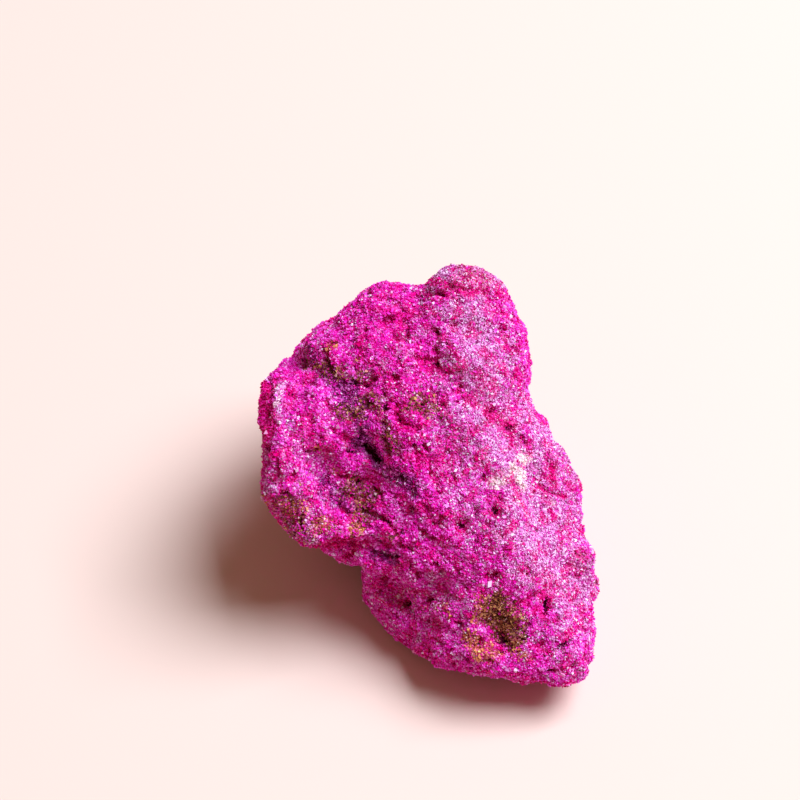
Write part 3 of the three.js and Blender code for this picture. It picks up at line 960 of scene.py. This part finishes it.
@dataclass(frozen=True)
class CrustColours:
    """The crust's colours, as display colours.

    Attributes:
        tones: the magenta itself, from the darkest crystal's to the lightest's, each with its tone; the top
            stop is the near-white of the painted highlights.
        pale: the same where the crust is pale and fine; a few pale patches are painted light, on the left
            lobe's ledge and lower rim and on the lower right corner.
        frost: the cream-white of a few spots, one of them a painted highlight on the left lobe's ledge.
        moss: the dark mossy coating's, from darkest to lightest.
        rust: the orange stains', from darkest to lightest.
        ember_and_recess_shade: the crimson of the crust's own crimson patches, and the painted shade of the
            little recesses, round pits and slits and down a side that faces away from the lamp.
        dusk_and_furrow_shade: the deep purple of uneven dusky patches, and the painted shade of the furrows,
            the slit and some pits.
        deep: the near-black painted shade of the pores, pits and slits.
    """

    tones: Stops = (
        (0.0, 0xB40054),
        (0.12, 0xD80088),
        (0.35, 0xEE0CB4),
        (0.62, 0xF438D0),
        (0.82, 0xF866E0),
        (0.94, 0xFC8CEC),
        # the near-white of the painted highlights
        (1.0, 0xFFD8FC),
    )
    pale: Stops = (
        (0.0, 0x98005C),
        (0.2, 0xC8309C),
        (0.5, 0xE488D4),
        (0.8, 0xF4C4F2),
        (1.0, 0xFFF0FF),
    )
    frost: Stops = (
        (0.0, 0xE8A0C8),
        (0.4, 0xFFDCE8),
        (1.0, 0xFFFFF0),
    )
    moss: Stops = (
        (0.0, 0x401018),
        (0.5, 0x8C4830),
        (0.85, 0xC08058),
        (1.0, 0xE8B880),
    )
    rust: Stops = (
        (0.0, 0x802030),
        (0.5, 0xC45848),
        (0.85, 0xE89C64),
        (1.0, 0xFFD498),
    )
    ember_and_recess_shade: Stops = (
        (0.0, 0xA00038),
        (0.4, 0xE8027C),
        (0.8, 0xFA18AC),
        (1.0, 0xFF64D0),
    )
    dusk_and_furrow_shade: Stops = (
        (0.0, 0x480430),
        (0.6, 0x981C74),
        (1.0, 0xCC5CBC),
    )
    deep: Stops = (
        (0.0, 0x24000C),
        (0.7, 0x5C0430),
        (1.0, 0xA01868),
    )


class Nodes:
    """Adds nodes to a node tree and joins them."""

    def __init__(self, tree: bpy.types.NodeTree) -> None:
        """Starts with a tree."""
        self.tree = tree

    def add(self, kind: str, **settings: object) -> bpy.types.Node:
        """A new node of a kind, with its settings."""
        node = self.tree.nodes.new(kind)
        for name, value in settings.items():
            setattr(node, name, value)
        return node

    def join(self, source: bpy.types.NodeSocket, target: bpy.types.NodeSocket) -> None:
        """Joins an output to an input."""
        self.tree.links.new(source, target)

    def ramp(self, stops: Stops, source: bpy.types.NodeSocket) -> bpy.types.NodeSocket:
        """Colours a value.

        Args:
            stops: positions from 0 to 1 with their display colours.
            source: the value.

        Returns:
            The colour.
        """
        node = self.add("ShaderNodeValToRGB")
        elements = node.color_ramp.elements
        while len(elements) < len(stops):
            elements.new(1.0)
        for element, (position, code) in zip(elements, stops):
            element.position = position
            element.color = linear(code)
        self.join(source, node.inputs["Fac"])
        return node.outputs["Color"]

    def mix(
        self, share: bpy.types.NodeSocket, under: bpy.types.NodeSocket, over: bpy.types.NodeSocket
    ) -> bpy.types.NodeSocket:
        """One colour laid over another by a share from 0 to 1."""
        node = self.add("ShaderNodeMix", data_type="RGBA")
        self.join(share, node.inputs["Factor"])
        self.join(under, node.inputs["A"])
        self.join(over, node.inputs["B"])
        return node.outputs["Result"]

    def stored(self, name: str) -> bpy.types.NodeSocket:
        """The value that a mesh stores under a name."""
        return self.add("ShaderNodeAttribute", attribute_type="GEOMETRY", attribute_name=name).outputs["Fac"]


def crust_colour_group(colours: CrustColours) -> bpy.types.NodeTree:
    """Builds the node group that the crust and its crystals share, from a tone and tints to a colour.

    Args:
        colours: the colours.

    Returns:
        The group.
    """
    group = bpy.data.node_groups.new("CrustColour", "ShaderNodeTree")
    for name in ("Tone", *(tint.value.capitalize() for tint in Tint)):
        group.interface.new_socket(name=name, in_out="INPUT", socket_type="NodeSocketFloat")
    group.interface.new_socket(name="Colour", in_out="OUTPUT", socket_type="NodeSocketColor")
    nodes = Nodes(group)
    given = nodes.add("NodeGroupInput").outputs
    colour = nodes.ramp(colours.tones, given["Tone"])
    for name, stops in (
        ("Pale", colours.pale),
        ("Ember_and_recess_shade", colours.ember_and_recess_shade),
        ("Dusk_and_furrow_shade", colours.dusk_and_furrow_shade),
        ("Moss", colours.moss),
        ("Rust", colours.rust),
        ("Frost", colours.frost),
        ("Deep", colours.deep),
    ):
        colour = nodes.mix(given[name], colour, nodes.ramp(stops, given["Tone"]))
    nodes.join(colour, nodes.add("NodeGroupOutput").inputs["Colour"])
    return group


@dataclass(frozen=True)
class CrustFinish:
    """The finish of the crust or of its crystals.

    Attributes:
        name: the material's name.
        roughness: how dull it is.
        gloss: the strength of its white sheen, where 0.5 is a window pane's.
        grain: the width of the grains that are only drawn, in millimetres, or 0 where the mesh holds tones.
        bump: how far these grains stand up, in millimetres.
    """

    name: str
    roughness: float
    gloss: float
    grain: float = 0.0
    bump: float = 0.0

    def build(self, group: bpy.types.NodeTree) -> bpy.types.Material:
        """Builds the material.

        Args:
            group: the crust's colour group.

        Returns:
            The material.
        """
        material = bpy.data.materials.new(self.name)
        material.use_nodes = True
        nodes = Nodes(material.node_tree)
        shader = material.node_tree.nodes["Principled BSDF"]
        shader.inputs["Roughness"].default_value = self.roughness
        shader.inputs["Specular IOR Level"].default_value = self.gloss
        colour = nodes.add("ShaderNodeGroup", node_tree=group)
        for tint in Tint:
            nodes.join(nodes.stored(tint.value), colour.inputs[tint.value.capitalize()])
        nodes.join(colour.outputs["Colour"], shader.inputs["Base Color"])
        if not self.grain:
            nodes.join(nodes.stored("tone"), colour.inputs["Tone"])
            return material
        grains = nodes.add("ShaderNodeTexVoronoi", feature="F1")
        grains.inputs["Scale"].default_value = 1 / (self.grain * MM)
        nodes.join(nodes.add("ShaderNodeTexCoord").outputs["Object"], grains.inputs["Vector"])
        parts = nodes.add("ShaderNodeSeparateColor")
        nodes.join(grains.outputs["Color"], parts.inputs["Color"])
        nodes.join(parts.outputs["Red"], colour.inputs["Tone"])
        bump = nodes.add("ShaderNodeBump", invert=True)
        bump.inputs["Strength"].default_value = 1.0
        bump.inputs["Distance"].default_value = self.bump * MM
        nodes.join(grains.outputs["Distance"], bump.inputs["Height"])
        nodes.join(bump.outputs["Normal"], shader.inputs["Normal"])
        return material


# ------------------------------------------------------------------------------------------------------------
# The studio


@dataclass(frozen=True)
class Lamp:
    """A soft lamp that looks at the rock.

    Attributes:
        name: its name.
        place: where it is in the row frame, in metres.
        width: the width of its square face, in metres.
        watts: its power.
        colour: its display colour.
    """

    name: str
    place: tuple[float, float, float]
    width: float
    watts: float
    colour: int = 0xFFFFFF


@dataclass
class Studio:
    """The table, the light and the camera.

    Attributes:
        table_width: the table's width, in metres.
        table_colour: its display colour.
        table_roughness: how dull it is.
        table_gloss: the strength of its white sheen.
        lamps: the lamps.
        fill: the light from all round.
        fill_colour: its display colour.
        lens: the camera's focal length, in millimetres.
        clip: the nearest and the furthest that the camera sees, in metres.
        stand_off: the camera's place before the broad face, as u, v and w in millimetres.
    """

    table_width: float = 3.0
    table_colour: int = 0xEDD2C8
    table_roughness: float = 0.9
    table_gloss: float = 0.1
    lamps: tuple[Lamp, ...] = (
        Lamp("key", place=(0.74, 0.17, 1.35), width=0.95, watts=43.0, colour=0xE8F4FF),
    )
    fill: float = 0.2
    fill_colour: int = 0xFFD8AC
    lens: float = 100.0
    clip: tuple[float, float] = (0.01, 10.0)
    stand_off: tuple[float, float, float] = (-4.8, 12.3, 366.7)

    def build(self) -> None:
        """Builds the whole studio."""
        self.build_table()
        for lamp in self.lamps:
            self.build_lamp(lamp)
        self.build_fill()
        self.build_camera()

    def build_table(self) -> None:
        """Lays the table under the rock."""
        mesh = bpy.data.meshes.new("table")
        bm = bmesh.new()
        bmesh.ops.create_grid(bm, x_segments=1, y_segments=1, size=self.table_width / 2)
        bm.to_mesh(mesh)
        bm.free()
        material = bpy.data.materials.new("table")
        material.use_nodes = True
        shader = material.node_tree.nodes["Principled BSDF"]
        shader.inputs["Base Color"].default_value = linear(self.table_colour)
        shader.inputs["Roughness"].default_value = self.table_roughness
        shader.inputs["Specular IOR Level"].default_value = self.table_gloss
        mesh.materials.append(material)
        add_object("table", mesh)

    def build_lamp(self, lamp: Lamp) -> None:
        """Hangs a lamp."""
        data = bpy.data.lights.new(lamp.name, "AREA")
        data.shape = "SQUARE"
        data.size = lamp.width
        data.energy = lamp.watts
        data.color = linear(lamp.colour)[:3]
        made = bpy.data.objects.new(lamp.name, data)
        place = Vector(lamp.place)
        away = place - FACE.in_row(0, 0, 0)
        made.matrix_world = Matrix.Translation(place) @ away.to_track_quat("Z", "Y").to_matrix().to_4x4()
        bpy.context.scene.collection.objects.link(made)

    def build_fill(self) -> None:
        """Lights the rock from all round."""
        world = bpy.data.worlds.new("studio")
        world.use_nodes = True
        background = world.node_tree.nodes["Background"]
        background.inputs["Color"].default_value = linear(self.fill_colour)
        background.inputs["Strength"].default_value = self.fill
        bpy.context.scene.world = world

    def build_camera(self) -> None:
        """Sets the camera up before the broad face."""
        data = bpy.data.cameras.new("camera")
        data.lens = self.lens
        data.sensor_width = SENSOR_WIDTH
        data.clip_start, data.clip_end = self.clip
        made = bpy.data.objects.new("camera", data)
        turn = Matrix(FACE.axes().tolist()).transposed().to_4x4()
        made.matrix_world = Matrix.Translation(FACE.in_row(*self.stand_off)) @ turn
        bpy.context.scene.collection.objects.link(made)
        bpy.context.scene.camera = made
        bpy.context.scene.view_settings.view_transform = "Standard"


def declare(piece: bpy.types.Object) -> None:
    """Attaches a piece of the rock to its body, hides the imported solid and logs the piece's triangles."""
    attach(piece, BODY)
    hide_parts(SOLID)
    log.info("%s: %d triangles", piece.name, len(piece.data.polygons))


def main() -> None:
    """Builds the rock and its studio."""
    logging.basicConfig(level=logging.INFO, format="%(message)s")
    group = crust_colour_group(CrustColours())
    crust_finish = CrustFinish("crust", roughness=0.6, gloss=0.04, grain=0.4, bump=0.2).build(group)
    crystal_finish = CrustFinish("crystal", roughness=0.3, gloss=0.04).build(group)
    crust = Crust()
    ground = crust.build(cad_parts[SOLID], crust_finish)
    for piece in [ground, *Crystals().build(crust, ground.data, crystal_finish)]:
        declare(piece)
    Studio().build()


if __name__ == "__main__":
    main()
